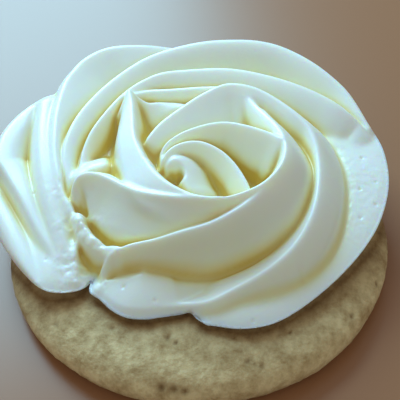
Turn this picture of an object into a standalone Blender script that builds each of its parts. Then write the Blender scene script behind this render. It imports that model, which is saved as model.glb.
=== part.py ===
"""Iced sugar cookie: a thick round soft cookie under one large piped rosette of icing.

Two solids: "cookie", a domed disc that stands on its flat underside, and "icing", the whole rosette
with the broken tail of its rope. The origin is the centre of the cookie's underside, +Z is up, and the
tail of the rosette lies at the front left (-X, -Y).
"""
import math

import bmesh
import bpy
import numpy as np

# ---------------------------------------------------------------- driving sizes, in millimetres
MM = 0.001                      # metres in a millimetre
COOKIE_RADIUS = 38.0            # a 3 inch round
COOKIE_THICKNESS = 10.0
COOKIE_WIDEST_HEIGHT = 3.5      # where the side bulges furthest
COOKIE_FOOT_INSET = 2.2         # how far the underside lies inside the widest circle
COOKIE_DOME_POWER = 5.0         # higher makes a flatter top and a tighter shoulder
COOKIE_SEGMENTS = 72
GAP = 0.4                       # clearance between the icing's underside and the cookie

ROSETTE_MIDDLE = (-0.5, 9.5)    # plan centre of the rosette, which sits back from the cookie's centre
BODY_RISE = 5.0                 # how high the rope's body stands above the rim before the crests begin
BODY_FLOOR = 7.0                # height of the body in the middle of the rosette
LEVEL_FROM, LEVEL_OVER = 12.0, 10.0     # it changes to that height so far inside the rim, over this width
CREST_BLEND = 0.25              # radius-like size that softens a furrow between two crests
BODY_BLEND = 0.3
PIT_BLEND = 0.4
SIDE_RISE = 5.0                 # the rope's round side rises this much over SIDE_WIDTH
SIDE_WIDTH = 1.2
GRID_STEP = 0.55                # spacing of the surface before it is thinned
SOFTENING_PASSES = 3            # how often the heights are evened out, which rounds the crests
KEPT_SHARE = 0.14               # share of the triangles that thinning leaves
# rings of the underside: share of the rim's reach, and how much of the rim's lift is left there
UNDERSIDE_RINGS = ((0.985, 0.6), (0.96, 0.3), (0.92, 0.1), (0.87, 0), (0.81, 0), (0.74, 0),
                   (0.65, 0), (0.5, 0), (0.25, 0))
COOKIE_SIDE_ANGLES = (0, 25, 50, 72)    # degrees round the lower side, from the foot to the widest circle
COOKIE_TOP_SHARES = (1.0, 0.985, 0.955, 0.91, 0.85, 0.77, 0.66, 0.5, 0.3, 0.12)  # of the radius


# ---------------------------------------------------------------- the rosette's crests
def crest(path, outer, inner, power=(0.8, 0.8), beyond=(1.2, 1.2)):
    """One fin of piped icing. path: (x, y, rise above the cookie's top), clockwise seen from above.

    outer and inner: how far each flank falls and over what width, at even steps along the path.
    power: below 1 a flank is hollow under a sharp crest, above 1 it is round.
    beyond: how much a flank falls per millimetre past its own width.
    """
    return {"path": path, "outer": outer, "inner": inner, "power": power, "beyond": beyond}


CRESTS = {
    "heart": crest(((-5.2, 1.5, 11.2), (-5.0, 2.3, 12), (-4.6, 3.1, 12.8),
                    (-3.8, 3.5, 13.3), (-2.8, 3.7, 13.5), (-2.2, 2.4, 13),
                    (-1.7, 0.5, 12.2), (-1.0, -1.8, 11.2)),
                   ((3, 1.2), (3, 1.5), (3.5, 5), (4.3, 7), (4.3, 7)), ((3.5, 2.5),), (1.7, 1.3),
                   (1.2, 1.2)),
    "bud": crest(((-6.5, 2.5, 12), (-5.5, 4.5, 13.7), (-4, 6, 14.5), (-1.5, 7.2, 14.8), (2, 7, 15),
                  (5.5, 4.7, 14.8), (8, 1.5, 14.3), (9.8, -2.5, 13.6), (10.8, -6, 12.5)),
                 ((6, 2),), ((3.5, 1.8), (4.5, 3), (5, 3)), (0.8, 1.3), (1.2, 2)),
    "crown back": crest(((-6.3, 4.5, 12), (-5, 7.5, 14), (-2, 9.4, 15), (1, 10.5, 15.3),
                         (4, 11, 15.6), (7.3, 10.9, 15.8), (10.3, 9.7, 16), (13.2, 8, 16.2),
                         (16, 6, 16.3), (17.6, 4.3, 16.4)),
                        ((6, 2.5),), ((5, 2), (6, 4), (6, 5)), (0.8, 1.2)),
    "crown rim": crest(((11.5, 20.8, 13.5), (13, 18.1, 13.9), (14.2, 15.5, 14.3), (15.6, 11.9, 15),
                        (16.9, 8.4, 15.8), (17.7, 5.5, 16.3), (17.7, 2.5, 16.5), (16.6, -2, 16.5),
                        (13.5, -6, 16.5), (9.5, -8.2, 16.4),
                        (5, -9.1, 16.2), (0.7, -8, 16), (-3, -5.5, 15.9), (-6.2, -1.8, 15.7),
                        (-8.5, 3, 15.6), (-10.2, 8.7, 15.5), (-10.5, 15, 15.5), (-10.7, 20, 15.5),
                        (-11.2, 22.7, 15.6)),
                       ((2, 1.5), (5, 2.5), (6, 3), (6, 2.5), (6, 2.5), (2.8, 6), (1.5, 3.5), (0.3, 0.7)),
                       ((1.5, 2), (5, 1.9), (6, 1.9), (6, 3), (6, 3), (6, 3.5), (7, 2.4), (4, 1.5)),
                       (1.0, 0.9), (3.0, 2.0)),
    "crown shoulder": crest(((11.6, 19.8, 13.1), (12.7, 17.6, 13.5), (13.8, 15.2, 14),
                             (15.1, 11.9, 14.6), (16.3, 8.8, 15.3), (17.1, 6.2, 15.9)),
                            ((3, 2),), ((2, 1.6), (3, 1.9), (4, 2.0)), (2, 1.6), (2, 2)),
    "peak": crest(((-11.2, 22.7, 15.6), (-9.9, 22.2, 14), (-7.9, 21.4, 12.6), (-5.5, 21.7, 11.9),
                   (-3.5, 20.5, 10.8)),
                  ((4, 1), (2.5, 2)), ((3, 4), (4, 6)), (1.0, 1.2), (3, 1.2)),
    "pocket shoulder": crest(((-8.5, 21.4, 11.8), (-5.5, 21.5, 11.6), (-2.4, 21.3, 11.3),
                              (0.6, 20.5, 11.2)),
                             ((2, 2.5),), ((5, 8),), (1.8, 1.6), (2, 1.2)),
    "back petal": crest(((-9.5, 9, 12.3), (-8, 10.7, 13.3), (-5.8, 13.3, 14), (-1.5, 17, 14.4),
                         (3.5, 20.5, 14.8), (8.5, 22.6, 15), (13.3, 21.3, 14.9), (17.2, 18.3, 14.4),
                         (21, 14, 13.7), (23.4, 10.4, 12.8), (24.2, 7.1, 12.2), (24.3, 3.2, 11.5),
                         (23.7, -1.9, 10.8), (22.4, -7.3, 10), (20.3, -11.8, 9), (17.1, -15.8, 7.8),
                         (12.4, -19.1, 6.4), (6.6, -21.6, 4.9), (1.5, -23, 3.4),
                         (-3.5, -22.3, 1.9), (-8, -22.1, 1.4),
                         (-12, -22, 1.3), (-15.3, -20.7, 1.2), (-17.8, -18, 1.2)),
                        ((6, 2.5), (6, 2.5), (6, 2.5), (5, 4), (5, 5), (4, 3.5), (4, 1.5), (3, 1),
                         (2, 1)),
                        ((5, 8), (5, 8), (5, 8), (4, 4.5), (2.5, 1.5), (1.5, 3), (1, 4),
                         (0.5, 4), (0.5, 4)),
                        (1.2, 1.1), (1.2, 0.6)),
    "sweep": crest(((14.8, 15.4, 13.9), (16, 11.2, 15), (17, 8, 15.7), (17.7, 3.9, 16.3),
                    (17.6, 0.9, 16.3), (16.5, -2.3, 16.1), (13.8, -6, 15.8), (10.8, -9.1, 15.2),
                    (7, -11.4, 14.4), (2.6, -12.6, 13.2), (-2.7, -12.8, 11.8), (-7.5, -12.7, 10.2),
                    (-13, -12.3, 8.6), (-15.8, -12.7, 7.2), (-17.6, -13.3, 5)),
                   ((2.5, 1.5), (6, 4.5), (7, 6), (9, 6.8), (9.8, 4.9), (8.8, 3.7), (5.5, 2.3), (3.5, 1.8)),
                   ((1, 0.3), (1, 0.3), (1, 0.4), (1, 0.9), (1, 2), (2.5, 2.5), (4, 2), (4, 1.5)),
                   (1.25, 1.0), (2.5, 6)),
    "front petal": crest(((5.1, -9.1, 16.1), (1.1, -8.7, 15.9), (-4.2, -7.2, 15.2),
                          (-10.8, -4.1, 14.1), (-15.8, 0.5, 13.1), (-18.4, 2.7, 12.6),
                          (-20.7, 3.6, 12.1), (-22.2, 3.4, 11.5), (-23, 2.7, 10.6)),
                         ((6, 4), (6, 5), (7, 6), (6.5, 6.5), (4.5, 5)),
                         ((5, 2), (4, 3.5), (3, 4), (4, 2), (5, 1.2)),
                         (0.8, 1.2), (1.2, 2)),
    "hump": crest(((-21, 6.6, 9.0), (-19.4, 7.5, 9.4), (-17, 8, 9.3), (-14.5, 7.6, 9.0), (-12.5, 6.8, 8.6)),
                  ((2.5, 4.5),), ((2, 4),), (1.6, 1.6), (0.6, 1.2)),
    "inner coil": crest(((-22.5, 7.6, 8), (-22, 9.9, 9), (-21.4, 12.7, 9.8), (-19.9, 16.4, 10.8),
                         (-17, 20.8, 11.6), (-14.1, 24.6, 12), (-11.5, 27.1, 12.3),
                         (-9, 28.9, 12.4), (-5.1, 30.7, 12.5), (0.4, 31, 12.5), (9.6, 30.3, 12.5),
                         (17.4, 27.8, 11.9), (23.7, 24.9, 11), (28.6, 22.1, 9.8), (31.4, 20.1, 8.8),
                         (33.7, 18.2, 7.4), (35.2, 16.8, 6)),
                        ((6, 2), (6, 2), (6, 2), (4, 3)), ((5, 3.2), (5, 4), (5, 5), (4, 6), (2, 7)),
                        (0.9, 1.8)),
    "tuck": crest(((-11, 24, 13), (-9.6, 25.2, 12.1), (-7.6, 25.8, 11.9), (-5.3, 25.6, 12),
                   (-2.2, 25.3, 12.2),
                   (3, 24.8, 12.6), (7.1, 24, 13)),
                  ((1, 1.5), (2, 1.5)), ((2, 2),), (1.2, 1.5)),
    "outer coil": crest(((-24.5, 3, 7), (-25, 7, 8), (-25.6, 11, 8.8), (-25.3, 15.3, 9.6),
                         (-23, 21.5, 10.4), (-18.5, 28, 11), (-12.5, 34, 11.4), (-6.5, 38, 11.6),
                         (4, 40.4, 12), (12.8, 40.3, 11.8), (17.3, 39.5, 11.5), (21.7, 37.7, 11),
                         (28, 33, 9.8), (32.7, 27.9, 8.2), (34.9, 23.4, 6.8), (36.2, 20, 5.8),
                         (37.4, 17, 4.8)),
                        ((7, 2.2), (7, 2.2), (6, 3), (6, 4)),
                        ((3.5, 4.6), (3.5, 5), (5, 6), (6, 6.5), (4, 5)),
                        (1.0, 1.9)),
    "tail crest": crest(((-22.9, -14.3, 2.2), (-23, -10.2, 3.8), (-22.5, -6.9, 5), (-22.7, -3.4, 6),
                         (-23.7, 0, 7), (-25.6, 3.9, 7.8), (-26.1, 7.2, 8.6), (-26.8, 11.7, 9.2),
                         (-27.1, 16.6, 9.8), (-27.1, 22, 10.2), (-26.5, 27.3, 10.4),
                         (-25, 33.7, 10.5), (-22, 39, 10.5), (-17, 42.5, 10.5), (-9.5, 43, 10.2),
                         (1.5, 42.5, 8)),
                        ((1.5, 2.5), (1.5, 2.5), (6, 3)),
                        ((6, 1.2), (6, 1.2), (6, 1.5), (6, 2), (5.5, 4), (5, 7), (5, 9), (5, 9), (5, 9)),
                        (1.5, 1.2), (1.2, 0.4)),
    "tail swell": crest(((-25, -13.2, 2), (-25, -9.7, 3.6), (-25.9, -5.8, 5), (-27.2, -0.6, 6.5),
                         (-28.6, 5, 7.7), (-29.5, 11.1, 8.6), (-30, 19.1, 9.2), (-29.8, 27.9, 9.4)),
                        ((3.2, 3.4),), ((1, 3.5),), (2.0, 2.0), (1.0, 1.5)),
    "tail edge": crest(((-23.8, -14.5, 1.5), (-26.3, -11.1, 2.5), (-28.9, -7, 3.9), (-31.7, -1.6, 5.2),
                        (-34.4, 4.3, 6.3),
                        (-37.6, 10.7, 7), (-39.2, 14.2, 7.4), (-39.1, 18.3, 7.7), (-36.8, 23.8, 8),
                        (-32.5, 28.7, 8.2), (-27, 32, 8.2)),
                       ((2.5, 1.5), (2.5, 1.5), (2.5, 3)), ((0.4, 3),), (1.0, 2.0), (1.2, 0.15)),
    "lower lobe": crest(((-31, -13.5, 1.5), (-33.5, -8, 2.8), (-36.5, -1, 3.8), (-39.5, 6, 4.2),
                         (-41, 12, 4)), ((2, 3),), ((1.5, 3),), (2.0, 2.0)),
    "torn curl": crest(((-22, -2.8, 7.8), (-21.3, -5.3, 7.5), (-19.7, -8.1, 7.0),
                        (-17.4, -10.4, 6.8), (-14.7, -11.9, 7.8)),
                       ((3, 1.5),), ((1.5, 1.8),), (1.2, 1.5), (3, 3)),
}

# The rim: (x, y, rise, slope of the body above it), anticlockwise from the slit beside the tail.
RIM = (
    (-20.9, -16.6, 0.7, 0.65), (-18.9, -18.6, 0.6, 0.7), (-17, -20.9, 0.5, 0.8),
    (-14.3, -22.9, 0.5, 0.85), (-10.8, -23.7, 0.5, 0.85), (-7, -23.5, 0.5, 0.75),
    (-4.2, -23.3, 0.5, 0.6), (-2.4, -23.1, 0.5, 0.5), (-1.2, -24.6, 0.5, 0.5),
    (0.6, -26.1, 0.5, 0.5), (1.5, -26.3, 0.5, 0.5), (7, -27.5, 0.5, 0.5),
    (13.5, -26.5, 0.5, 0.42), (25, -18.7, 1, 0.36), (33.5, -9.5, 2, 0.33), (37.5, -1.5, 2.6, 0.33),
    (39, 4.5, 3, 0.33), (39.2, 12, 3.2, 0.33), (37.8, 18, 3.4, 0.33), (36.4, 23, 3, 0.3),
    (33.6, 29, 2.5, 0.3), (28.8, 35.8, 2.5, 0.3), (22, 42, 2.5, 0.3), (12, 47, 2.5, 0.3),
    (-3, 47.7, 2.5, 0.3), (-17, 46.5, 2.5, 0.3), (-24, 42.5, 2.5, 0.3), (-27, 37, 3, 0.3),
    (-32.5, 31.8, 3.2, 0.3), (-38.6, 26.5, 3.2, 0.3), (-41.7, 19.5, 2.5, 0.3), (-42.3, 12, 1.8, 0.3),
    (-41, 4, 1.5, 0.3), (-38.5, -3, 1.5, 0.35), (-34, -10.5, 1, 0.45), (-29.5, -15.5, 1, 0.45),
    (-25.5, -16.5, 1, 0.4), (-22.4, -16, 1, 0.4), (-21.2, -14.4, 0.7, 0.4), (-20.6, -13.9, 0.7, 0.5))

# Places that go deep: a short path of (x, y, rise of the bottom), and how steep its walls are.
PITS = {
    "eye": (((-2.6, 0.9, 8.6), (-2.7, 1.3, 8.8)), 3.0),
    "petal pocket": (((-22.2, 0.0, 6.0), (-21.4, -2.0, 5.2)), 3.0),
    "slit beside the tail": (((-20.6, -16.5, 0.4), (-20.3, -13.5, 1), (-19.8, -12, 3)), 4.0),
}


# ---------------------------------------------------------------- curves and distances in plan
def smooth_curve(points, samples=8, closed=False):
    """A centripetal Catmull-Rom curve through the rows of points."""
    rows = np.asarray(points, float)
    if closed:
        padded = np.vstack([rows[-1], rows, rows[0], rows[1]])
    else:
        padded = np.vstack([2 * rows[0] - rows[1], rows, 2 * rows[-1] - rows[-2]])
    pieces = []
    for i in range(1, len(padded) - 2):
        p = padded[i - 1:i + 3]
        chords = np.hypot(*(p[1:, :2] - p[:-1, :2]).T)
        k = np.concatenate([[0.0], np.cumsum(np.sqrt(np.maximum(chords, 1e-3)))])
        t = np.linspace(k[1], k[2], samples, endpoint=False)[:, None]
        a = [((k[j + 1] - t) * p[j] + (t - k[j]) * p[j + 1]) / (k[j + 1] - k[j]) for j in range(3)]
        b = [((k[j + 2] - t) * a[j] + (t - k[j]) * a[j + 1]) / (k[j + 2] - k[j]) for j in range(2)]
        pieces.append(((k[2] - t) * b[0] + (t - k[1]) * b[1]) / (k[2] - k[1]))
    pieces.append(rows[:1] if closed else rows[-1:])
    return np.vstack(pieces)


def nearest_on(curve, xy):
    """For each plan point: distance to the curve, side (+1 left, -1 right), the curve's other columns."""
    best = np.full(len(xy), np.inf)
    side = np.zeros(len(xy))
    others = np.zeros((len(xy), curve.shape[1] - 2))
    for start, end in zip(curve[:-1], curve[1:]):
        step = (end - start)[:2]
        length = math.hypot(*step)
        if length == 0:
            continue
        to_point = xy - start[:2]
        along = np.clip(to_point @ step / length ** 2, 0, 1)
        away = np.hypot(to_point[:, 0] - along * step[0], to_point[:, 1] - along * step[1])
        nearer = away < best
        best[nearer] = away[nearer]
        cross = step[0] * to_point[nearer, 1] - step[1] * to_point[nearer, 0]
        side[nearer] = cross / length
        others[nearer] = start[2:] + along[nearer, None] * (end - start)[2:]
    return best, np.clip(side / np.maximum(best, 1e-6), -1, 1), others


def winding_inside(curve, xy):
    """True for the plan points inside a closed curve."""
    turns = np.zeros(len(xy), int)
    for start, end in zip(curve[:-1], curve[1:]):
        cross = (end[0] - start[0]) * (xy[:, 1] - start[1]) - (xy[:, 0] - start[0]) * (end[1] - start[1])
        turns += (start[1] <= xy[:, 1]) & (end[1] > xy[:, 1]) & (cross > 0)
        turns -= (start[1] > xy[:, 1]) & (end[1] <= xy[:, 1]) & (cross < 0)
    return turns != 0


def smooth_max(heights, blend):
    """The highest of several heights, rounded where two of them meet."""
    top = heights.max(axis=0)
    return top + blend * np.log(np.exp((heights - top) / blend).sum(axis=0))


def smooth_min(heights, blend):
    return -smooth_max(-heights, blend)


# ---------------------------------------------------------------- heights of the rosette
def flank_fall(distance, drop, width, power, beyond):
    return drop * (distance / width) ** power + beyond * np.maximum(0, distance - width)


def spread_over(pairs, count):
    """(fall, width) pairs spread evenly over a path's points."""
    share = np.linspace(0, 1, len(pairs))
    return np.stack([np.interp(np.linspace(0, 1, count), share, column) for column in zip(*pairs)], 1)


def crest_height(fin, xy):
    """Height of one fin over every plan point: its crest line less the fall of its flanks."""
    path = np.array(fin["path"], float)
    flanks = [spread_over(fin[side], len(path)) for side in ("outer", "inner")]
    distance, side, along = nearest_on(smooth_curve(np.hstack([path] + flanks)), xy)
    rise, outer_drop, outer_width, inner_drop, inner_width = along.T
    outward = 0.5 * (1 + side)
    outer_fall = flank_fall(distance, outer_drop, outer_width, fin["power"][0], fin["beyond"][0])
    inner_fall = flank_fall(distance, inner_drop, inner_width, fin["power"][1], fin["beyond"][1])
    return rise - outward * outer_fall - (1 - outward) * inner_fall


def rosette_height(rim, xy):
    """Rise of the rosette's surface above the cookie's top at each plan point."""
    rise = smooth_max(np.array([crest_height(fin, xy) for fin in CRESTS.values()]), CREST_BLEND)
    inset, _, at_rim = nearest_on(rim, xy)
    rim_rise, slope = at_rim[:, 0], at_rim[:, 1]
    body = rim_rise + BODY_RISE * (1 - np.exp(-slope * inset / BODY_RISE))
    body += np.clip((inset - LEVEL_FROM) / LEVEL_OVER, 0, 1) * (BODY_FLOOR - body)
    rise = smooth_max(np.array([rise, body]), BODY_BLEND)
    for path, steepness in PITS.values():
        distance, _, bottom = nearest_on(smooth_curve(path), xy)
        rise = smooth_min(np.array([rise, bottom[:, 0] + steepness * distance]), PIT_BLEND)
    round_side = rim_rise + SIDE_RISE * np.sqrt(inset / SIDE_WIDTH)
    rise = smooth_min(np.array([rise, round_side]), BODY_BLEND)
    return np.maximum(rise, rim_rise)


# ---------------------------------------------------------------- the cookie
def cookie_radius(angle):
    """The cookie's outline in plan: a circle that baked a little uneven."""
    wobble = 0.005 * math.cos(2 * angle + 0.6) + 0.004 * math.cos(3 * angle + 2.0)
    return COOKIE_RADIUS * (1 + wobble + 0.0025 * math.cos(7 * angle + 1.0))


def cookie_top(x, y):
    """Height of the cookie's domed top, which stays at its shoulder height outside the cookie."""
    reach = np.minimum(np.hypot(x, y) / COOKIE_RADIUS, 0.9)
    dome = np.sqrt(1 - reach ** COOKIE_DOME_POWER)
    return COOKIE_WIDEST_HEIGHT + (COOKIE_THICKNESS - COOKIE_WIDEST_HEIGHT) * dome


def cookie_profile():
    """(share of the radius, inset in mm, height in mm) from the foot, round the side, over the top."""
    rows = []
    for angle in np.radians(COOKIE_SIDE_ANGLES):
        inset = COOKIE_FOOT_INSET * (1 - math.sin(angle))
        rows.append((1.0, inset, COOKIE_WIDEST_HEIGHT * (1 - math.cos(angle))))
    for share in COOKIE_TOP_SHARES:
        height = (COOKIE_THICKNESS - COOKIE_WIDEST_HEIGHT) * math.sqrt(1 - share ** COOKIE_DOME_POWER)
        rows.append((share, 0.0, COOKIE_WIDEST_HEIGHT + height))
    return rows


def build_cookie(material):
    mesh = bmesh.new()
    loops = []
    for share, inset, height in cookie_profile():
        loop = []
        for i in range(COOKIE_SEGMENTS):
            angle = 2 * math.pi * i / COOKIE_SEGMENTS
            radius = share * cookie_radius(angle) - inset
            place = (radius * math.cos(angle), radius * math.sin(angle), height)
            loop.append(mesh.verts.new([MM * value for value in place]))
        loops.append(loop)
    for low, high in zip(loops[:-1], loops[1:]):
        for i in range(COOKIE_SEGMENTS):
            j = (i + 1) % COOKIE_SEGMENTS
            mesh.faces.new((low[i], low[j], high[j], high[i]))
    mesh.faces.new(reversed(loops[0]))
    mesh.faces.new(loops[-1])
    bmesh.ops.recalc_face_normals(mesh, faces=mesh.faces)
    return finish_object("cookie", mesh, material)


# ---------------------------------------------------------------- the icing
def plan_grid(rim):
    """Square cells over the rosette's plan, with the outermost points drawn onto the rim."""
    low = rim[:, :2].min(axis=0) - 2 * GRID_STEP
    count = np.ceil((rim[:, :2].max(axis=0) + 2 * GRID_STEP - low) / GRID_STEP).astype(int)
    columns, rows = np.meshgrid(np.arange(count[0]), np.arange(count[1]))
    xy = low + GRID_STEP * np.stack([columns.ravel(), rows.ravel()], axis=1)
    distance, _, _ = nearest_on(rim, xy)
    inset = np.where(winding_inside(rim, xy), distance, -distance)
    kept = (inset > -0.3 * GRID_STEP).reshape(count[1], count[0])
    cells = kept[:-1, :-1] & kept[:-1, 1:] & kept[1:, :-1] & kept[1:, 1:]
    index = np.arange(len(xy)).reshape(count[1], count[0])
    quads = np.stack([index[:-1, :-1], index[:-1, 1:], index[1:, 1:], index[1:, :-1]], axis=-1)[cells]
    return xy, quads


def open_surface(xy, quads):
    """A flat sheet of the cells, without cells that meet the rest at one corner only."""
    mesh = bmesh.new()
    verts = {i: mesh.verts.new((xy[i][0], xy[i][1], 0.0)) for i in sorted(set(quads.ravel().tolist()))}
    for quad in quads.tolist():
        mesh.faces.new([verts[i] for i in quad])
    pinched = [v for v in mesh.verts if sum(e.is_boundary for e in v.link_edges) > 2]
    bmesh.ops.delete(mesh, geom=pinched, context="VERTS")
    return mesh


def build_icing(material):
    rim = smooth_curve(RIM, 6, closed=True)
    mesh = open_surface(*plan_grid(rim))
    border = [v for v in mesh.verts if v.is_boundary]
    _, _, on_rim = nearest_on(np.hstack([rim[:, :2], rim]), np.array([v.co[:2] for v in border]))
    for vert, place in zip(border, on_rim):
        vert.co.x, vert.co.y = place[:2]
    rises = rosette_height(rim, np.array([v.co[:2] for v in mesh.verts]))
    for vert, rise in zip(mesh.verts, rises):
        vert.co.z = COOKIE_THICKNESS + rise
    within = [v for v in mesh.verts if not v.is_boundary]
    for _ in range(SOFTENING_PASSES):
        bmesh.ops.smooth_vert(mesh, verts=within, factor=0.5, use_axis_z=True)
    close_underside(mesh, [e for e in mesh.edges if e.is_boundary])
    bmesh.ops.scale(mesh, vec=(MM, MM, MM), verts=mesh.verts)
    bmesh.ops.recalc_face_normals(mesh, faces=mesh.faces)
    icing = finish_object("icing", mesh, material)
    thin = icing.modifiers.new("Thin the even grid", "DECIMATE")
    thin.ratio = KEPT_SHARE
    return icing


def close_underside(mesh, border):
    """Run rings in from the rim to the bed of icing that lies on the cookie, and fill the middle."""
    places = {v: (v.co.x, v.co.y, v.co.z) for e in border for v in e.verts}
    ring = border
    for share, lift in UNDERSIDE_RINGS:
        made = bmesh.ops.extrude_edge_only(mesh, edges=ring)["geom"]
        ring = [e for e in made if isinstance(e, bmesh.types.BMEdge) and e.is_boundary]
        fresh = {v for e in ring for v in e.verts}
        moved = {vert: next(places[other] for e in vert.link_edges for other in e.verts
                            if other in places) for vert in fresh}
        for vert, (x, y, z) in moved.items():
            vert.co.x = ROSETTE_MIDDLE[0] + share * (x - ROSETTE_MIDDLE[0])
            vert.co.y = ROSETTE_MIDDLE[1] + share * (y - ROSETTE_MIDDLE[1])
            bed = float(cookie_top(vert.co.x, vert.co.y)) + GAP
            vert.co.z = bed + lift * (z - bed)
        places = moved
    bmesh.ops.holes_fill(mesh, edges=ring, sides=0)


# ---------------------------------------------------------------- objects and materials
def finish_object(name, mesh, material):
    data = bpy.data.meshes.new(name)
    mesh.to_mesh(data)
    mesh.free()
    data.shade_smooth()
    data.materials.append(material)
    thing = bpy.data.objects.new(name, data)
    bpy.context.scene.collection.objects.link(thing)
    return thing


def plain_material(name, colour, roughness):
    material = bpy.data.materials.new(name)
    material.use_nodes = True
    surface = material.node_tree.nodes["Principled BSDF"]
    surface.inputs["Base Color"].default_value = (*colour, 1.0)
    surface.inputs["Roughness"].default_value = roughness
    surface.inputs["Metallic"].default_value = 0.0
    return material


for old in list(bpy.data.objects):
    bpy.data.objects.remove(old)

build_cookie(plain_material("baked crumb", (0.55, 0.40, 0.20), 0.9))
build_icing(plain_material("buttercream", (0.88, 0.85, 0.66), 0.5))
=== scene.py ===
# %% [markdown]
# # An iced sugar cookie
# A thick, soft sugar cookie carries one large rosette of buttercream, piped with an open star tip.
# Two pieces are made here: the crumb, which is matte and mottled, and the icing, whose sharp folds
# let light in. The measured model gives every size; its plain solids are replaced by finer ones
# inside the same box.

# %% The measured model
import math

import bmesh
import bpy
import numpy as np
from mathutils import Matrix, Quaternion, Vector, noise


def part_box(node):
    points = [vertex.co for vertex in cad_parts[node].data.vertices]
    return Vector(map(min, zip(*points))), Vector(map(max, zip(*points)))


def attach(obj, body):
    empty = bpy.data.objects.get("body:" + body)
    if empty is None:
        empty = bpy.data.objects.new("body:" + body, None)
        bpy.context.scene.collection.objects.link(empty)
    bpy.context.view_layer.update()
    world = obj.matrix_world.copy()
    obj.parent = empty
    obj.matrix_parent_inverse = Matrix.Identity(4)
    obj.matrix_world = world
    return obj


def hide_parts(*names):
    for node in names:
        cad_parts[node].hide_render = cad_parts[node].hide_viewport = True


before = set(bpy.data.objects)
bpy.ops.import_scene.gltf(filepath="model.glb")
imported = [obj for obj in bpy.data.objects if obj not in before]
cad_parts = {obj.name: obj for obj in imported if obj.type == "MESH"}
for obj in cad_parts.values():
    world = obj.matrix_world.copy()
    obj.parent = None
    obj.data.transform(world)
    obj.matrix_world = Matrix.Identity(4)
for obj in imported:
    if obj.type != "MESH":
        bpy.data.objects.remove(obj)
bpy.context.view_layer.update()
cookie_low, cookie_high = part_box("cookie")
MM = 0.001                                   # metres in a millimetre
COOKIE_RADIUS = 0.25 * (cookie_high.x - cookie_low.x + cookie_high.y - cookie_low.y) / MM
COOKIE_TOP = cookie_high.z / MM
print(f"cookie {2 * COOKIE_RADIUS:.1f} mm wide and {COOKIE_TOP:.1f} mm thick")

# %% [markdown]
# ## The camera
# The cookie is looked at from its front edge, half from above, with a moderately long lens, so that
# the far folds are a little smaller than the near ones. The camera is set by what it aims at, how
# far off it is and a small roll, because those are easier to think about than rotation angles.

# %% The camera
CAMERA_VIEW_ANGLE = 24.0                     # degrees
CAMERA_ELEVATION = 48.0
CAMERA_ROLL = -4.654
CAMERA_DISTANCE = 203.58                     # mm
CAMERA_AIM = Vector((1.075, 13.747, 0.0))    # mm


def add_camera():
    lens = bpy.data.cameras.new("camera")
    lens.sensor_width = 36.0
    lens.lens = 18.0 / math.tan(math.radians(CAMERA_VIEW_ANGLE / 2))
    lens.clip_start, lens.clip_end = 0.01, 10.0
    camera = bpy.data.objects.new("camera", lens)
    tilt = math.radians(CAMERA_ELEVATION)
    back = Vector((0, -math.cos(tilt), math.sin(tilt)))
    camera.location = (CAMERA_AIM + CAMERA_DISTANCE * back) * MM
    camera.rotation_mode = "QUATERNION"
    upright = (-back).to_track_quat("-Z", "Y")
    camera.rotation_quaternion = Quaternion(back, math.radians(CAMERA_ROLL)) @ upright
    bpy.context.scene.collection.objects.link(camera)
    bpy.context.scene.camera = camera
    print("camera stands at", [round(v, 3) for v in camera.location])


add_camera()


# %% [markdown]
# ## Floor and light
# The icing is lit by a wide, cool window behind and to the left, which makes the crests glow, while
# a weak warm room fills the sides that face the viewer. A large area lamp stands for the window and
# the world colour for the room, so the shadows stay soft.

# %% The floor
def plain_surface(name, colour, roughness):
    material = bpy.data.materials.new(name)
    material.use_nodes = True
    shader = material.node_tree.nodes["Principled BSDF"]
    shader.inputs["Base Color"].default_value = (*colour, 1.0)
    shader.inputs["Roughness"].default_value = roughness
    return material


def add_floor():
    size = 3.0                               # metres to each side
    data = bpy.data.meshes.new("floor")
    data.from_pydata([(-size, -size, 0), (size, -size, 0), (size, size, 0), (-size, size, 0)],
                     [], [(0, 1, 2, 3)])
    data.materials.append(plain_surface("pale table", (0.34, 0.14, 0.065), 0.30))
    floor = bpy.data.objects.new("floor", data)
    bpy.context.scene.collection.objects.link(floor)
    print("floor is", 2 * size, "m wide")


add_floor()

# %% The window and the room
WINDOW_COLOUR = (0.50, 1.0, 1.30)
ROOM_COLOUR = (0.90, 1.0, 0.92)


def add_window(name, place, size, colour, watts):
    lamp = bpy.data.lights.new(name, "AREA")
    lamp.shape, lamp.size = "SQUARE", size
    lamp.color, lamp.energy = colour, watts
    window = bpy.data.objects.new(name, lamp)
    window.location = place
    window.rotation_mode = "QUATERNION"
    window.rotation_quaternion = (-Vector(place)).to_track_quat("-Z", "Y")
    bpy.context.scene.collection.objects.link(window)


def set_room(colour, strength):
    world = bpy.data.worlds.new("room")
    world.use_nodes = True
    light = world.node_tree.nodes["Background"]
    light.inputs["Color"].default_value = (*colour, 1.0)
    light.inputs["Strength"].default_value = strength
    bpy.context.scene.world = world


add_window("window", (-0.21, 0.65, 0.52), 0.50, WINDOW_COLOUR, 7.4)
set_room(ROOM_COLOUR, 0.44)
bpy.context.scene.view_settings.view_transform = "Standard"
print("window and room are lit")

# %% [markdown]
# ## Curves through a few points
# Every fold of the rosette follows a curve drawn through a few points. A centripetal spline passes
# through each point without the loops that other splines make where points lie close together.
# Columns after x and y, such as a height or a width, are carried along the curve.

# %% Smooth curves


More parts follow.
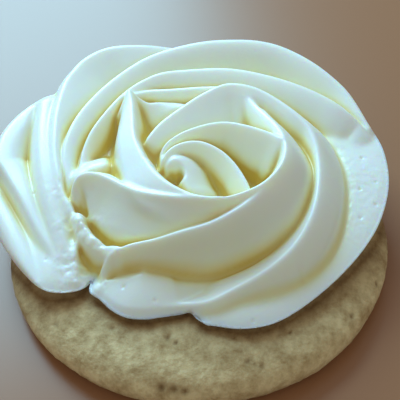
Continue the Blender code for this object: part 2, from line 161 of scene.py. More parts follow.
def smooth_curve(points, samples=8, closed=False):
    points = np.asarray(points, float)
    if closed:
        ends = (points[-1:], points[:1], points[1:2])
        padded = np.vstack((ends[0], points, ends[1], ends[2]))
    else:
        padded = np.vstack((2 * points[0] - points[1], points, 2 * points[-1] - points[-2]))
    pieces = []
    for p0, p1, p2, p3 in zip(padded[:-3], padded[1:-2], padded[2:-1], padded[3:]):
        gaps = [max(np.hypot(*(b - a)[:2]), 1e-3) ** 0.5 for a, b in ((p0, p1), (p1, p2), (p2, p3))]
        t0, t1, t2, t3 = np.cumsum([0, *gaps])
        t = np.linspace(t1, t2, samples, endpoint=False)[:, None]
        a1 = (t1 - t) / (t1 - t0) * p0 + (t - t0) / (t1 - t0) * p1
        a2 = (t2 - t) / (t2 - t1) * p1 + (t - t1) / (t2 - t1) * p2
        a3 = (t3 - t) / (t3 - t2) * p2 + (t - t2) / (t3 - t2) * p3
        b1 = (t2 - t) / (t2 - t0) * a1 + (t - t0) / (t2 - t0) * a2
        b2 = (t3 - t) / (t3 - t1) * a2 + (t - t1) / (t3 - t1) * a3
        pieces.append((t2 - t) / (t2 - t1) * b1 + (t - t1) / (t2 - t1) * b2)
    pieces.append(points[:1] if closed else points[-1:])
    return np.vstack(pieces)


def nearest_on(curve, xy):
    """Distance, side (+1 left of travel, -1 right) and the curve's other columns, per plan point."""
    best = np.full(len(xy), np.inf)
    side = np.zeros(len(xy))
    others = np.zeros((len(xy), curve.shape[1] - 2))
    for start, end in zip(curve[:-1], curve[1:]):
        step = (end - start)[:2]
        length = np.hypot(*step)
        if length < 1e-9:
            continue
        away = xy - start[:2]
        share = np.clip(away @ step / length ** 2, 0, 1)
        distance = np.hypot(away[:, 0] - share * step[0], away[:, 1] - share * step[1])
        near = distance < best
        best[near] = distance[near]
        side[near] = (step[0] * away[near, 1] - step[1] * away[near, 0]) / length
        others[near] = start[2:] + share[near, None] * (end - start)[2:]
    return best, np.clip(side / np.maximum(best, 1e-6), -1, 1), others


def smooth_max(layers, blend):
    top = layers.max(axis=0)
    return top + blend * np.log(np.exp((layers - top) / blend).sum(axis=0))


def smooth_min(layers, blend):
    return -smooth_max(-layers, blend)


print("a square of 4 points becomes", len(smooth_curve(((0, 0), (1, 0), (1, 1), (0, 1)), closed=True)))

# %% [markdown]
# ## The crests of the rosette
# A star tip leaves thin, sharp fins of icing that wind round the middle and lean on one another.
# Each fin is one crest line with a height, and two flanks that fall away from it over a given width.
# A power below 1 makes a flank hollow under a sharp crest; above 1 it is plump. Paths run clockwise
# seen from above, so the outer flank is on the left.

# %% The crest lines


def crest(path, outer, inner, power=(0.8, 0.8), beyond=(1.2, 1.2)):
    """path: (x, y, rise). outer, inner: (fall, width) at even steps along the path. beyond: slope after."""
    return {"path": path, "outer": outer, "inner": inner, "power": power, "beyond": beyond}


CRESTS = {
    "heart": crest(((-5.2, 1.5, 11.2), (-5.0, 2.3, 12), (-4.6, 3.1, 12.8),
                    (-3.8, 3.5, 13.3), (-2.8, 3.7, 13.5), (-2.2, 2.4, 13),
                    (-1.7, 0.5, 12.2), (-1.0, -1.8, 11.2)),
                   ((3, 1.2), (3, 1.5), (3.5, 5), (4.3, 7), (4.3, 7)), ((3.5, 2.5),), (1.7, 1.3),
                   (1.2, 1.2)),
    "bud": crest(((-6.5, 2.5, 12), (-5.5, 4.5, 13.7), (-4, 6, 14.5), (-1.5, 7.2, 14.8), (2, 7, 15),
                  (5.5, 4.7, 14.8), (8, 1.5, 14.3), (9.8, -2.5, 13.6), (10.8, -6, 12.5)),
                 ((6, 2),), ((3.5, 1.8), (4.5, 3), (5, 3)), (0.8, 1.3), (1.2, 2)),
    "crown back": crest(((-6.3, 4.5, 12), (-5, 7.5, 14), (-2, 9.4, 15), (1, 10.5, 15.3),
                         (4, 11, 15.6), (7.3, 10.9, 15.8), (10.3, 9.7, 16), (13.2, 8, 16.2),
                         (16, 6, 16.3), (17.6, 4.3, 16.4)),
                        ((6, 2.5),), ((5, 2), (6, 4), (6, 5)), (0.8, 1.2)),
    "crown rim": crest(((11.5, 20.8, 13.5), (13, 18.1, 13.9), (14.2, 15.5, 14.3), (15.6, 11.9, 15),
                        (16.9, 8.4, 15.8), (17.7, 5.5, 16.3), (17.7, 2.5, 16.5), (16.6, -2, 16.5),
                        (13.5, -6, 16.5), (9.5, -8.2, 16.4),
                        (5, -9.1, 16.2), (0.7, -8, 16), (-3, -5.5, 15.9), (-6.2, -1.8, 15.7),
                        (-8.5, 3, 15.6), (-10.2, 8.7, 15.5), (-10.5, 15, 15.5), (-10.7, 20, 15.5),
                        (-11.2, 22.7, 15.6)),
                       ((2, 1.5), (5, 2.5), (6, 3), (6, 2.5), (6, 2.5), (2.8, 6), (1.5, 3.5), (0.3, 0.7)),
                       ((1.5, 2), (5, 1.9), (6, 1.9), (6, 3), (6, 3), (6, 3.5), (7, 2.4), (4, 1.5)),
                       (1.0, 0.9), (3.0, 2.0)),
    "crown shoulder": crest(((11.6, 19.8, 13.1), (12.7, 17.6, 13.5), (13.8, 15.2, 14),
                             (15.1, 11.9, 14.6), (16.3, 8.8, 15.3), (17.1, 6.2, 15.9)),
                            ((3, 2),), ((2, 1.6), (3, 1.9), (4, 2.0)), (2, 1.6), (2, 2)),
    "peak": crest(((-11.2, 22.7, 15.6), (-9.9, 22.2, 14), (-7.9, 21.4, 12.6), (-5.5, 21.7, 11.9),
                   (-3.5, 20.5, 10.8)),
                  ((4, 1), (2.5, 2)), ((3, 4), (4, 6)), (1.0, 1.2), (3, 1.2)),
    "pocket shoulder": crest(((-8.5, 21.4, 11.8), (-5.5, 21.5, 11.6), (-2.4, 21.3, 11.3),
                              (0.6, 20.5, 11.2)),
                             ((2, 2.5),), ((5, 8),), (1.8, 1.6), (2, 1.2)),
    "back petal": crest(((-9.5, 9, 12.3), (-8, 10.7, 13.3), (-5.8, 13.3, 14), (-1.5, 17, 14.4),
                         (3.5, 20.5, 14.8), (8.5, 22.6, 15), (13.3, 21.3, 14.9), (17.2, 18.3, 14.4),
                         (21, 14, 13.7), (23.4, 10.4, 12.8), (24.2, 7.1, 12.2), (24.3, 3.2, 11.5),
                         (23.7, -1.9, 10.8), (22.4, -7.3, 10), (20.3, -11.8, 9), (17.1, -15.8, 7.8),
                         (12.4, -19.1, 6.4), (6.6, -21.6, 4.9), (1.5, -23, 3.4),
                         (-3.5, -22.3, 1.9), (-8, -22.1, 1.4),
                         (-12, -22, 1.3), (-15.3, -20.7, 1.2), (-17.8, -18, 1.2)),
                        ((6, 2.5), (6, 2.5), (6, 2.5), (5, 4), (5, 5), (4, 3.5), (4, 1.5), (3, 1),
                         (2, 1)),
                        ((5, 8), (5, 8), (5, 8), (4, 4.5), (2.5, 1.5), (1.5, 3), (1, 4),
                         (0.5, 4), (0.5, 4)),
                        (1.2, 1.1), (1.2, 0.6)),
    "sweep": crest(((14.8, 15.4, 13.9), (16, 11.2, 15), (17, 8, 15.7), (17.7, 3.9, 16.3),
                    (17.6, 0.9, 16.3), (16.5, -2.3, 16.1), (13.8, -6, 15.8), (10.8, -9.1, 15.2),
                    (7, -11.4, 14.4), (2.6, -12.6, 13.2), (-2.7, -12.8, 11.8), (-7.5, -12.7, 10.2),
                    (-13, -12.3, 8.6), (-15.8, -12.7, 7.2), (-17.6, -13.3, 5)),
                   ((2.5, 1.5), (6, 4.5), (7, 6), (9, 6.8), (9.8, 4.9), (8.8, 3.7), (5.5, 2.3), (3.5, 1.8)),
                   ((1, 0.3), (1, 0.3), (1, 0.4), (1, 0.9), (1, 2), (2.5, 2.5), (4, 2), (4, 1.5)),
                   (1.25, 1.0), (2.5, 6)),
    "front petal": crest(((5.1, -9.1, 16.1), (1.1, -8.7, 15.9), (-4.2, -7.2, 15.2),
                          (-10.8, -4.1, 14.1), (-15.8, 0.5, 13.1), (-18.4, 2.7, 12.6),
                          (-20.7, 3.6, 12.1), (-22.2, 3.4, 11.5), (-23, 2.7, 10.6)),
                         ((6, 4), (6, 5), (7, 6), (6.5, 6.5), (4.5, 5)),
                         ((5, 2), (4, 3.5), (3, 4), (4, 2), (5, 1.2)),
                         (0.8, 1.2), (1.2, 2)),
    "hump": crest(((-21, 6.6, 9.0), (-19.4, 7.5, 9.4), (-17, 8, 9.3), (-14.5, 7.6, 9.0), (-12.5, 6.8, 8.6)),
                  ((2.5, 4.5),), ((2, 4),), (1.6, 1.6), (0.6, 1.2)),
    "inner coil": crest(((-22.5, 7.6, 8), (-22, 9.9, 9), (-21.4, 12.7, 9.8), (-19.9, 16.4, 10.8),
                         (-17, 20.8, 11.6), (-14.1, 24.6, 12), (-11.5, 27.1, 12.3),
                         (-9, 28.9, 12.4), (-5.1, 30.7, 12.5), (0.4, 31, 12.5), (9.6, 30.3, 12.5),
                         (17.4, 27.8, 11.9), (23.7, 24.9, 11), (28.6, 22.1, 9.8), (31.4, 20.1, 8.8),
                         (33.7, 18.2, 7.4), (35.2, 16.8, 6)),
                        ((6, 2), (6, 2), (6, 2), (4, 3)), ((5, 3.2), (5, 4), (5, 5), (4, 6), (2, 7)),
                        (0.9, 1.8)),
    "tuck": crest(((-11, 24, 13), (-9.6, 25.2, 12.1), (-7.6, 25.8, 11.9), (-5.3, 25.6, 12),
                   (-2.2, 25.3, 12.2),
                   (3, 24.8, 12.6), (7.1, 24, 13)),
                  ((1, 1.5), (2, 1.5)), ((2, 2),), (1.2, 1.5)),
    "outer coil": crest(((-24.5, 3, 7), (-25, 7, 8), (-25.6, 11, 8.8), (-25.3, 15.3, 9.6),
                         (-23, 21.5, 10.4), (-18.5, 28, 11), (-12.5, 34, 11.4), (-6.5, 38, 11.6),
                         (4, 40.4, 12), (12.8, 40.3, 11.8), (17.3, 39.5, 11.5), (21.7, 37.7, 11),
                         (28, 33, 9.8), (32.7, 27.9, 8.2), (34.9, 23.4, 6.8), (36.2, 20, 5.8),
                         (37.4, 17, 4.8)),
                        ((7, 2.2), (7, 2.2), (6, 3), (6, 4)),
                        ((3.5, 4.6), (3.5, 5), (5, 6), (6, 6.5), (4, 5)),
                        (1.0, 1.9)),
    "tail crest": crest(((-22.9, -14.3, 2.2), (-23, -10.2, 3.8), (-22.5, -6.9, 5), (-22.7, -3.4, 6),
                         (-23.7, 0, 7), (-25.6, 3.9, 7.8), (-26.1, 7.2, 8.6), (-26.8, 11.7, 9.2),
                         (-27.1, 16.6, 9.8), (-27.1, 22, 10.2), (-26.5, 27.3, 10.4),
                         (-25, 33.7, 10.5), (-22, 39, 10.5), (-17, 42.5, 10.5), (-9.5, 43, 10.2),
                         (1.5, 42.5, 8)),
                        ((1.5, 2.5), (1.5, 2.5), (6, 3)),
                        ((6, 1.2), (6, 1.2), (6, 1.5), (6, 2), (5.5, 4), (5, 7), (5, 9), (5, 9), (5, 9)),
                        (1.5, 1.2), (1.2, 0.4)),
    "tail swell": crest(((-25, -13.2, 2), (-25, -9.7, 3.6), (-25.9, -5.8, 5), (-27.2, -0.6, 6.5),
                         (-28.6, 5, 7.7), (-29.5, 11.1, 8.6), (-30, 19.1, 9.2), (-29.8, 27.9, 9.4)),
                        ((3.2, 3.4),), ((1, 3.5),), (2.0, 2.0), (1.0, 1.5)),
    "tail edge": crest(((-23.8, -14.5, 1.5), (-26.3, -11.1, 2.5), (-28.9, -7, 3.9), (-31.7, -1.6, 5.2),
                        (-34.4, 4.3, 6.3),
                        (-37.6, 10.7, 7), (-39.2, 14.2, 7.4), (-39.1, 18.3, 7.7), (-36.8, 23.8, 8),
                        (-32.5, 28.7, 8.2), (-27, 32, 8.2)),
                       ((2.5, 1.5), (2.5, 1.5), (2.5, 3)), ((0.4, 3),), (1.0, 2.0), (1.2, 0.15)),
    "lower lobe": crest(((-31, -13.5, 1.5), (-33.5, -8, 2.8), (-36.5, -1, 3.8), (-39.5, 6, 4.2),
                         (-41, 12, 4)), ((2, 3),), ((1.5, 3),), (2.0, 2.0)),
    "torn curl": crest(((-22, -2.8, 7.8), (-21.3, -5.3, 7.5), (-19.7, -8.1, 7.0),
                        (-17.4, -10.4, 6.8), (-14.7, -11.9, 7.8)),
                       ((3, 1.5),), ((1.5, 1.8),), (1.2, 1.5), (3, 3)),
}

RIM = (
    (-20.9, -16.6, 0.7, 0.65), (-18.9, -18.6, 0.6, 0.7), (-17, -20.9, 0.5, 0.8),
    (-14.3, -22.9, 0.5, 0.85), (-10.8, -23.7, 0.5, 0.85), (-7, -23.5, 0.5, 0.75),
    (-4.2, -23.3, 0.5, 0.6), (-2.4, -23.1, 0.5, 0.5), (-1.2, -24.6, 0.5, 0.5),
    (0.6, -26.1, 0.5, 0.5), (1.5, -26.3, 0.5, 0.5), (7, -27.5, 0.5, 0.5),
    (13.5, -26.5, 0.5, 0.42), (25, -18.7, 1, 0.36), (33.5, -9.5, 2, 0.33), (37.5, -1.5, 2.6, 0.33),
    (39, 4.5, 3, 0.33), (39.2, 12, 3.2, 0.33), (37.8, 18, 3.4, 0.33), (36.4, 23, 3, 0.3),
    (33.6, 29, 2.5, 0.3), (28.8, 35.8, 2.5, 0.3), (22, 42, 2.5, 0.3), (12, 47, 2.5, 0.3),
    (-3, 47.7, 2.5, 0.3), (-17, 46.5, 2.5, 0.3), (-24, 42.5, 2.5, 0.3), (-27, 37, 3, 0.3),
    (-32.5, 31.8, 3.2, 0.3), (-38.6, 26.5, 3.2, 0.3), (-41.7, 19.5, 2.5, 0.3), (-42.3, 12, 1.8, 0.3),
    (-41, 4, 1.5, 0.3), (-38.5, -3, 1.5, 0.35), (-34, -10.5, 1, 0.45), (-29.5, -15.5, 1, 0.45),
    (-25.5, -16.5, 1, 0.4), (-22.4, -16, 1, 0.4), (-21.2, -14.4, 0.7, 0.4), (-20.6, -13.9, 0.7, 0.5))

PITS = {  # path: (x, y, bottom), and how steeply the sides rise
    "eye": (((-2.6, 0.9, 8.6), (-2.7, 1.3, 8.8)), 3.0),
    "petal pocket": (((-22.2, 0.0, 6.0), (-21.4, -2.0, 5.2)), 3.0),
    "slit beside the tail": (((-20.6, -16.5, 0.4), (-20.3, -13.5, 1), (-19.8, -12, 3)), 4.0),
}
print(len(CRESTS), "crests and", len(RIM), "points round the rim")

# %% [markdown]
# ## From crests to one surface
# The icing is one mass, so its top is the highest of all fins at each place, blended a little where
# two meet. Under them lies the round body of the rope, and a few pits are pressed in. This could be
# sculpted by hand, but heights worked out from lines are easy to correct one fold at a time.

# %% Height of the rosette
BODY_RISE, BODY_FLOOR = 5.0, 7.0             # mm
CREST_BLEND, BODY_BLEND, PIT_BLEND = 0.25, 0.3, 0.4
SIDE_RISE, SIDE_WIDTH = 5.0, 1.2


def flank_fall(distance, drop, width, power, beyond):
    return drop * (distance / width) ** power + beyond * np.maximum(0, distance - width)


def spread_over(pairs, count):
    """(fall, width) pairs spread evenly over a path's points."""
    share = np.linspace(0, 1, len(pairs))
    return np.stack([np.interp(np.linspace(0, 1, count), share, column) for column in zip(*pairs)], 1)


def crest_height(fin, xy):
    path = np.array(fin["path"], float)
    flanks = [spread_over(fin[side], len(path)) for side in ("outer", "inner")]
    distance, side, along = nearest_on(smooth_curve(np.hstack([path] + flanks)), xy)
    rise, outer_drop, outer_width, inner_drop, inner_width = along.T
    outward = 0.5 * (1 + side)
    outer_fall = flank_fall(distance, outer_drop, outer_width, fin["power"][0], fin["beyond"][0])
    inner_fall = flank_fall(distance, inner_drop, inner_width, fin["power"][1], fin["beyond"][1])
    return rise - outward * outer_fall - (1 - outward) * inner_fall


def rosette_height(rim, xy):
    rise = smooth_max(np.array([crest_height(fin, xy) for fin in CRESTS.values()]), CREST_BLEND)
    inset, _, at_rim = nearest_on(rim, xy)
    rim_rise, slope = at_rim[:, 0], at_rim[:, 1]
    body = rim_rise + BODY_RISE * (1 - np.exp(-slope * inset / BODY_RISE))
    body += np.clip((inset - 12) / 10, 0, 1) * (BODY_FLOOR - body)
    rise = smooth_max(np.array([rise, body]), BODY_BLEND)
    for path, steepness in PITS.values():
        distance, _, bottom = nearest_on(smooth_curve(path), xy)
        rise = smooth_min(np.array([rise, bottom[:, 0] + steepness * distance]), PIT_BLEND)
    round_side = rim_rise + SIDE_RISE * np.sqrt(inset / SIDE_WIDTH)
    rise = smooth_min(np.array([rise, round_side]), BODY_BLEND)
    return np.maximum(rise, rim_rise)


# %% [markdown]
# ## The icing as a mesh
# Even square cells, a quarter of a millimetre wide, cover the rosette's plan. The outermost points
# are drawn onto the rim, so its outline is smooth, and the heights are softened a little, because
# buttercream never holds a knife edge.

# %% Cells over the plan
CELL = 0.25                                  # mm
SOFTENING = 0.30                             # mm
FURROW_REACH, FURROW_DEPTH = 1.2, 0.8        # mm
FURROW_CUT = 0.9                             # share of that depth by which a furrow is cut deeper


def inside(curve, xy):
    turns = np.zeros(len(xy), int)
    for start, end in zip(curve[:-1], curve[1:]):
        cross = (end[0] - start[0]) * (xy[:, 1] - start[1]) - (xy[:, 0] - start[0]) * (end[1] - start[1])
        turns += (start[1] <= xy[:, 1]) & (end[1] > xy[:, 1]) & (cross > 0)
        turns -= (start[1] > xy[:, 1]) & (end[1] <= xy[:, 1]) & (cross < 0)
    return turns != 0


def blurred(values, mask, reach):
    """Gaussian average over the grid of the values inside the mask."""
    width = max(1, int(3 * reach / CELL + 0.5))
    weights = np.exp(-0.5 * (np.arange(-width, width + 1) * CELL / reach) ** 2)
    total, count = np.where(mask, values, 0.0), mask.astype(float)
    for axis in (0, 1):
        total = np.apply_along_axis(np.convolve, axis, total, weights, "same")
        count = np.apply_along_axis(np.convolve, axis, count, weights, "same")
    return total / np.maximum(count, 1e-9)


ROUGH_PATCHES = (   # x, y, radius of the patch, height and width of its lumps, in mm
    (-20.8, -5.2, 2.6, 1.4, 3.2), (-17.5, -9.5, 2.0, 0.9, 2.6), (-23.2, -11.5, 3.2, 0.35, 1.3),
    (-23.8, -15, 2.2, 0.35, 1.1), (-24.2, -3.5, 3.0, 0.3, 1.6), (-25.6, 3.5, 2.5, 0.2, 1.6),
    (-7, 3.5, 1.4, 1.2, 1.6), (-7.4, 5.6, 1.0, 0.9, 1.2), (33.5, 4, 8.0, 0.08, 1.0),
    (31, -9, 6.0, 0.06, 1.0), (-18.5, -15.5, 1.6, 0.4, 1.4))
DENTS = (           # x, y, radius and depth, in mm
    (18.6, -18.7, 0.55, 0.5), (8.8, -26.2, 0.3, 0.3), (1.1, -25, 0.3, 0.25), (-14.2, -17.7, 0.35, 0.3),
    (-8.6, -20.9, 0.3, 0.25), (34.2, 8.5, 0.35, 0.35), (36, 2.5, 0.3, 0.3), (32.5, 0.5, 0.3, 0.3),
    (35, -2.8, 0.35, 0.3), (31.5, -6, 0.3, 0.3), (-29, -9.5, 0.3, 0.15), (-31.5, 5, 0.3, 0.15))


def uneven(xy):
    """Lumps where the icing tore or dried, and small pits left by bubbles."""
    shift = np.zeros(len(xy))
    for x, y, radius, rise, size in ROUGH_PATCHES:
        away = np.hypot(xy[:, 0] - x, xy[:, 1] - y) / radius
        for i in np.flatnonzero(away < 2):
            lump = noise.fractal(Vector((xy[i, 0], xy[i, 1], 0)) / size, 0.8, 2.2, 3)
            shift[i] += rise * lump * math.exp(-away[i] ** 2)
    for x, y, radius, depth in DENTS:
        away = np.hypot(xy[:, 0] - x, xy[:, 1] - y) / radius
        shift -= depth * np.exp(-away ** 2)
    return shift


rim = smooth_curve(RIM, 6, closed=True)
low = rim[:, :2].min(axis=0) - 2 * CELL
columns, rows = np.ceil((rim[:, :2].max(axis=0) + 2 * CELL - low) / CELL).astype(int)
grid_x, grid_y = np.meshgrid(low[0] + CELL * np.arange(columns), low[1] + CELL * np.arange(rows))
plan = np.stack([grid_x.ravel(), grid_y.ravel()], axis=1)
reach_in = nearest_on(rim, plan)[0] * np.where(inside(rim, plan), 1, -1)
kept = (reach_in > -0.3 * CELL).reshape(rows, columns)
height = np.zeros(rows * columns)
height[kept.ravel()] = rosette_height(rim, plan[kept.ravel()])
height = blurred(height.reshape(rows, columns), kept, SOFTENING)
furrow = np.clip(blurred(height, kept, FURROW_REACH) - height, 0, FURROW_DEPTH)
height -= FURROW_CUT * furrow
height[kept] += uneven(plan[kept.ravel()])
print(f"{kept.sum()} points; highest {height[kept].max():.1f} mm above the cookie")

# %% [markdown]
# ## How open each place is to the sky
# Light that enters a deep furrow bounces between its walls and comes out yellower each time. The
# render does this itself, but only for a few bounces, so each point also stores how much of the sky
# it sees over the folds around it, and the icing's colour deepens where that share is small.

# %% Openness
LOOK_OUT = (0.5, 1.0, 1.75, 2.75, 4.0, 6.0, 9.0)    # mm
LOOK_AROUND = 16


# Painted shade: how much a furrow lowers the stored share of sky, and over what width by the rim that
# painted shade fades out.
FURROW_SHARE = 0.4
RIM_FADE = 2.0                               # mm


def openness(rise):
    """Share of the sky seen from every cell, from the highest slope met in each direction."""
    total = np.zeros_like(rise)
    margin = int(max(LOOK_OUT) / CELL) + 1
    wide = np.pad(rise, margin, mode="edge")
    for turn in range(LOOK_AROUND):
        angle = 2 * math.pi * turn / LOOK_AROUND
        steepest = np.zeros_like(rise)
        for reach in LOOK_OUT:
            dx = margin + round(reach * math.cos(angle) / CELL)
            dy = margin + round(reach * math.sin(angle) / CELL)
            seen = wide[dy:dy + rise.shape[0], dx:dx + rise.shape[1]]
            steepest = np.maximum(steepest, (seen - rise) / reach)
        total += 1 / (1 + steepest ** 2)
    return total / LOOK_AROUND


sky = openness(height)
sky -= FURROW_SHARE * furrow / FURROW_DEPTH
sky = 1 - (1 - sky) * np.clip(reach_in.reshape(rows, columns) / RIM_FADE, 0, 1)
print("a tenth, a half and nine tenths of the icing see", np.percentile(sky[kept], (10, 50, 90)).round(2))

# %% Icing mesh


def cookie_top(x, y):
    """Height of the cookie's domed top under the icing, level outside the cookie."""
    reach = min(math.hypot(x, y) / COOKIE_RADIUS, 0.9)
    return WIDEST_HEIGHT + (COOKIE_TOP - WIDEST_HEIGHT) * math.sqrt(1 - reach ** DOME_POWER)


WIDEST_HEIGHT, DOME_POWER = 3.5, 5.0
ROSETTE_MIDDLE = (-0.5, 9.5)
BED_GAP = 0.3
UNDERSIDE_RINGS = ((0.985, 0.6), (0.96, 0.3), (0.92, 0.1), (0.87, 0), (0.81, 0), (0.74, 0),
                   (0.65, 0), (0.5, 0), (0.25, 0))


def build_icing():
    mesh = bmesh.new()
    # Each point stores its share of open sky, which the icing's colour turns into painted shade.
    painted_shade_layer = mesh.verts.layers.float.new("sky")
    cells = kept[:-1, :-1] & kept[:-1, 1:] & kept[1:, :-1] & kept[1:, 1:]
    index = np.arange(rows * columns).reshape(rows, columns)
    quads = np.stack([index[:-1, :-1], index[:-1, 1:], index[1:, 1:], index[1:, :-1]], axis=-1)[cells]
    heights, painted_shade, verts = height.ravel(), sky.ravel(), {}
    for i in np.unique(quads).tolist():
        verts[i] = mesh.verts.new((plan[i, 0], plan[i, 1], COOKIE_TOP + heights[i]))
        verts[i][painted_shade_layer] = painted_shade[i]
    for quad in quads.tolist():
        mesh.faces.new([verts[i] for i in quad])
    pinched = [v for v in mesh.verts if sum(e.is_boundary for e in v.link_edges) > 2]
    bmesh.ops.delete(mesh, geom=pinched, context="VERTS")
    border = [v for v in mesh.verts if v.is_boundary]
    along = nearest_on(np.hstack([rim[:, :2], rim]), np.array([v.co[:2] for v in border]))[2]
    for vert, (x, y, rise, _) in zip(border, along):
        vert.co = (x, y, COOKIE_TOP + rise)
    close_underside(mesh)
    bmesh.ops.scale(mesh, vec=(MM, MM, MM), verts=mesh.verts)
    bmesh.ops.recalc_face_normals(mesh, faces=mesh.faces)
    data = bpy.data.meshes.new("icing_folds")
    mesh.to_mesh(data)
    mesh.free()
    data.shade_smooth()
    icing = bpy.data.objects.new("icing_folds", data)
    bpy.context.scene.collection.objects.link(icing)
    return icing


def close_underside(mesh):
    ring = [e for e in mesh.edges if e.is_boundary]
    places = {v: v.co.copy() for e in ring for v in e.verts}
    for share, lift in UNDERSIDE_RINGS:
        made = bmesh.ops.extrude_edge_only(mesh, edges=ring)["geom"]
        ring = [e for e in made if isinstance(e, bmesh.types.BMEdge) and e.is_boundary]
        fresh = {v for e in ring for v in e.verts}
        moved = {v: next(places[other] for e in v.link_edges for other in e.verts
                         if other in places) for v in fresh}
        for vert, place in moved.items():
            vert.co.x = ROSETTE_MIDDLE[0] + share * (place.x - ROSETTE_MIDDLE[0])
            vert.co.y = ROSETTE_MIDDLE[1] + share * (place.y - ROSETTE_MIDDLE[1])
            bed = cookie_top(vert.co.x, vert.co.y) + BED_GAP
            vert.co.z = bed + lift * (place.z - bed)
        places = moved
    bmesh.ops.holes_fill(mesh, edges=ring, sides=0)


icing = build_icing()
print(f"icing has {len(icing.data.vertices)} points and {len(icing.data.polygons)} faces")

# %% [markdown]
# ## The finish of the buttercream
# Buttercream is butter and sugar: light goes a few millimetres in and comes out warmer, and the skin
# has a soft shine. Subsurface scattering does the first, with red going furthest. The stored share
# of open sky, lowered further in furrows, paints shade into the colour: the yellow deepens and darkens
# there as painted shade.

# %% Buttercream
# Painted shade: the icing's colour by its share of open sky, a deep, darker yellow in enclosed furrows and
# white where it is open.
SKY_COLOURS = ((0.20, (0.80, 0.58, 0.15)), (0.40, (0.88, 0.76, 0.40)), (0.58, (0.92, 0.88, 0.65)),
               (0.72, (0.94, 0.93, 0.79)), (0.84, (0.95, 0.95, 0.87)), (0.94, (0.96, 0.97, 0.97)))


def buttercream():
    material = bpy.data.materials.new("buttercream")
    material.use_nodes = True
    nodes, links = material.node_tree.nodes, material.node_tree.links
    shader = nodes["Principled BSDF"]
    # Painted shade: this reads each point's share of open sky, so that the colour darkens and yellows in
    # furrows.
    depth = nodes.new("ShaderNodeAttribute")
    depth.attribute_name = "sky"
    ramp = nodes.new("ShaderNodeValToRGB")
    for element in ramp.color_ramp.elements[1:]:
        ramp.color_ramp.elements.remove(element)
    for i, (position, colour) in enumerate(SKY_COLOURS):
        element = ramp.color_ramp.elements[0] if i == 0 else ramp.color_ramp.elements.new(position)
        element.position, element.color = position, (*colour, 1)
    links.new(depth.outputs["Fac"], ramp.inputs["Fac"])
    links.new(ramp.outputs["Color"], shader.inputs["Base Color"])
    shader.inputs["Subsurface Weight"].default_value = 0.7
    shader.inputs["Subsurface Radius"].default_value = (1.0, 0.7, 0.35)
    shader.inputs["Subsurface Scale"].default_value = 0.002
    shader.inputs["Roughness"].default_value = 0.34
    shader.inputs["Specular IOR Level"].default_value = 0.9
    grain = nodes.new("ShaderNodeTexNoise")
    grain.inputs["Scale"].default_value = 1800.0
    grain.inputs["Detail"].default_value = 3.0
    bump = nodes.new("ShaderNodeBump")
    bump.inputs["Strength"].default_value = 0.12
    bump.inputs["Distance"].default_value = 0.0002
    place = nodes.new("ShaderNodeTexCoord")
    links.new(place.outputs["Object"], grain.inputs["Vector"])
    links.new(grain.outputs["Fac"], bump.inputs["Height"])
    links.new(bump.outputs["Normal"], shader.inputs["Normal"])
    return material


icing.data.materials.append(buttercream())
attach(icing, "root")
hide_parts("icing")
print("icing has its finish")

# %% [markdown]
# ## The cookie
# A cut round of soft dough spreads a little in the oven: its side bulges, its top stays almost flat,
# and its skin is uneven. Rings of points from the foot round the side and over the top make the
# form, and noise at three scales lifts them into baked crumb.

# %% Cookie mesh
COOKIE_SPOKES = 480
FOOT_INSET = 2.2                             # mm
LUMP_SIZE, LUMP_RISE = 9.0, 0.22             # mm
CRUMB_SIZE, CRUMB_RISE = 1.3, 0.10
# The band under the icing's edge is painted shadow, partly a toasted brown: the crumb's colour darkens
# within this reach of the icing.
BAND_REACH, BAND_SHADE = 2.4, 1.0            # mm, and the share of the darker colour
PIT_DEPTH = 0.35                             # mm
CRUST_PITS = (   # x, y, height and radius, in mm
    (-19.4, -18.4, 9.1, 0.6), (-16.8, -23.8, 8.8, 0.7), (-6.7, -26.9, 9.1, 0.7), (-5.3, -28.1, 9.0, 0.5),
    (5.2, -28.0, 9.0, 0.7), (15.3, -27.6, 8.5, 0.5), (27.3, -23.9, 6.5, 0.6), (7.2, -32.5, 7.7, 0.6),
    (8.4, -33.0, 7.4, 0.5), (9.6, -33.3, 7.1, 0.6), (-8.4, -35.3, 5.8, 0.9), (-6.3, -35.9, 5.7, 0.9),
    (-4.3, -36.4, 5.6, 0.7), (-27.5, -20.8, 7.3, 0.5), (33.5, -16.5, 5.6, 0.5), (21, 29, 8.5, 0.6),
    (-30, 22, 7.4, 0.6), (5, 38.2, 5.5, 0.7), (-20, 33, 6.2, 0.6))


def cookie_radius(angle):
    wobble = 0.005 * math.cos(2 * angle + 0.6) + 0.004 * math.cos(3 * angle + 2.0)
    return COOKIE_RADIUS * (1 + wobble + 0.0025 * math.cos(7 * angle + 1.0))


def cookie_profile():
    """(share of the radius, inset, height) from the foot, round the side and over the top."""
    rows = []
    for angle in np.radians(np.linspace(0, 75, 9)):
        rows.append((1.0, FOOT_INSET * (1 - math.sin(angle)), WIDEST_HEIGHT * (1 - math.cos(angle))))
    shares = np.concatenate([1 - np.linspace(0, 1, 14)[:-1] ** 2 * 0.1, np.linspace(0.9, 0.02, 100)])
    for share in shares:
        height = (COOKIE_TOP - WIDEST_HEIGHT) * math.sqrt(1 - share ** DOME_POWER)
        rows.append((share, 0.0, WIDEST_HEIGHT + height))
    return rows


def crumb_shift(place):
    lumps = noise.noise(place / LUMP_SIZE) * LUMP_RISE
    return lumps + noise.turbulence(place / CRUMB_SIZE, 3, False) * CRUMB_RISE - 0.2


def pitted(place):
    """How much of a pit is at this place, from 0 to 1."""
    return max(math.exp(-((place - Vector(pit[:3])).length / pit[3]) ** 2) for pit in CRUST_PITS)


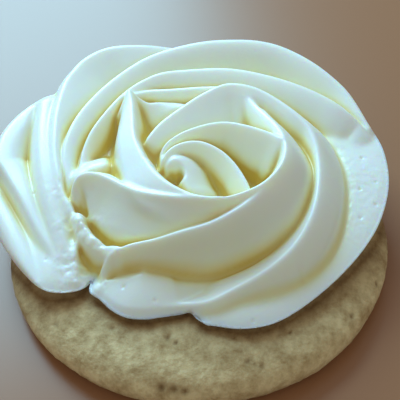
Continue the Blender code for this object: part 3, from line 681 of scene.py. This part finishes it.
def build_cookie():
    mesh = bmesh.new()
    shade_layer = mesh.verts.layers.float.new("shade")
    loops = []
    for share, inset, rise in cookie_profile():
        loop = []
        for i in range(COOKIE_SPOKES):
            angle = 2 * math.pi * i / COOKIE_SPOKES
            radius = share * cookie_radius(angle) - inset
            loop.append(mesh.verts.new((radius * math.cos(angle), radius * math.sin(angle), rise)))
        loops.append(loop)
    for lower, upper in zip(loops[:-1], loops[1:]):
        for i in range(COOKIE_SPOKES):
            j = (i + 1) % COOKIE_SPOKES
            mesh.faces.new((lower[i], lower[j], upper[j], upper[i]))
    mesh.faces.new(reversed(loops[0]))
    mesh.faces.new(loops[-1])
    mesh.normal_update()
    foot = set(loops[0])
    stains = {v: pitted(v.co) for v in mesh.verts}
    shifts = [(v, v.normal * (crumb_shift(v.co) - PIT_DEPTH * stains[v]))
              for v in mesh.verts if v not in foot]
    for vert, shift in shifts:
        vert.co += shift
    # Painted shadow, partly toasted: the band darkens the crumb near the icing's edge, and the pits darken
    # it too.
    away = nearest_on(rim, np.array([v.co[:2] for v in mesh.verts]))[0]
    for vert, distance in zip(mesh.verts, away):
        vert[shade_layer] = max(BAND_SHADE * math.exp(-distance / BAND_REACH), stains[vert])
    bmesh.ops.scale(mesh, vec=(MM, MM, MM), verts=mesh.verts)
    data = bpy.data.meshes.new("cookie_crumb")
    mesh.to_mesh(data)
    mesh.free()
    data.shade_smooth()
    cookie = bpy.data.objects.new("cookie_crumb", data)
    bpy.context.scene.collection.objects.link(cookie)
    return cookie


cookie = build_cookie()
print(f"cookie has {len(cookie.data.vertices)} points")

# %% Baked crumb


def baked_crumb():
    material = bpy.data.materials.new("baked crumb")
    material.use_nodes = True
    nodes, links = material.node_tree.nodes, material.node_tree.links
    shader = nodes["Principled BSDF"]
    place = nodes.new("ShaderNodeTexCoord")
    mottle = nodes.new("ShaderNodeTexNoise")
    mottle.inputs["Scale"].default_value = 330.0
    mottle.inputs["Detail"].default_value = 8.0
    mottle.inputs["Roughness"].default_value = 0.68
    ramp = nodes.new("ShaderNodeValToRGB")
    ramp.color_ramp.elements[0].color = (0.46, 0.29, 0.13, 1)
    ramp.color_ramp.elements[0].position = 0.34
    ramp.color_ramp.elements[1].color = (0.80, 0.60, 0.34, 1)
    ramp.color_ramp.elements[1].position = 0.62
    band = nodes.new("ShaderNodeAttribute")
    band.attribute_name = "shade"
    # Painted shadow and toast: this multiplies the crumb's colour darker along the band under the icing and
    # at the pits.
    painted_shadow_toast_and_pits = nodes.new("ShaderNodeMix")
    painted_shadow_toast_and_pits.data_type = "RGBA"
    painted_shadow_toast_and_pits.blend_type = "MULTIPLY"
    painted_shadow_toast_and_pits.inputs["B"].default_value = (0.33, 0.22, 0.12, 1)
    links.new(place.outputs["Object"], mottle.inputs["Vector"])
    links.new(mottle.outputs["Fac"], ramp.inputs["Fac"])
    links.new(band.outputs["Fac"], painted_shadow_toast_and_pits.inputs["Factor"])
    links.new(ramp.outputs["Color"], painted_shadow_toast_and_pits.inputs["A"])
    links.new(painted_shadow_toast_and_pits.outputs["Result"], shader.inputs["Base Color"])
    shader.inputs["Roughness"].default_value = 0.85
    shader.inputs["Subsurface Weight"].default_value = 0.15
    shader.inputs["Subsurface Radius"].default_value = (1.0, 0.6, 0.3)
    shader.inputs["Subsurface Scale"].default_value = 0.001
    crumb = nodes.new("ShaderNodeTexNoise")
    crumb.inputs["Scale"].default_value = 1500.0
    crumb.inputs["Detail"].default_value = 4.0
    bump = nodes.new("ShaderNodeBump")
    bump.inputs["Strength"].default_value = 0.5
    bump.inputs["Distance"].default_value = 0.0004
    links.new(place.outputs["Object"], crumb.inputs["Vector"])
    links.new(crumb.outputs["Fac"], bump.inputs["Height"])
    links.new(bump.outputs["Normal"], shader.inputs["Normal"])
    return material


cookie.data.materials.append(baked_crumb())
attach(cookie, "root")
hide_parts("cookie")
print("cookie has its finish")
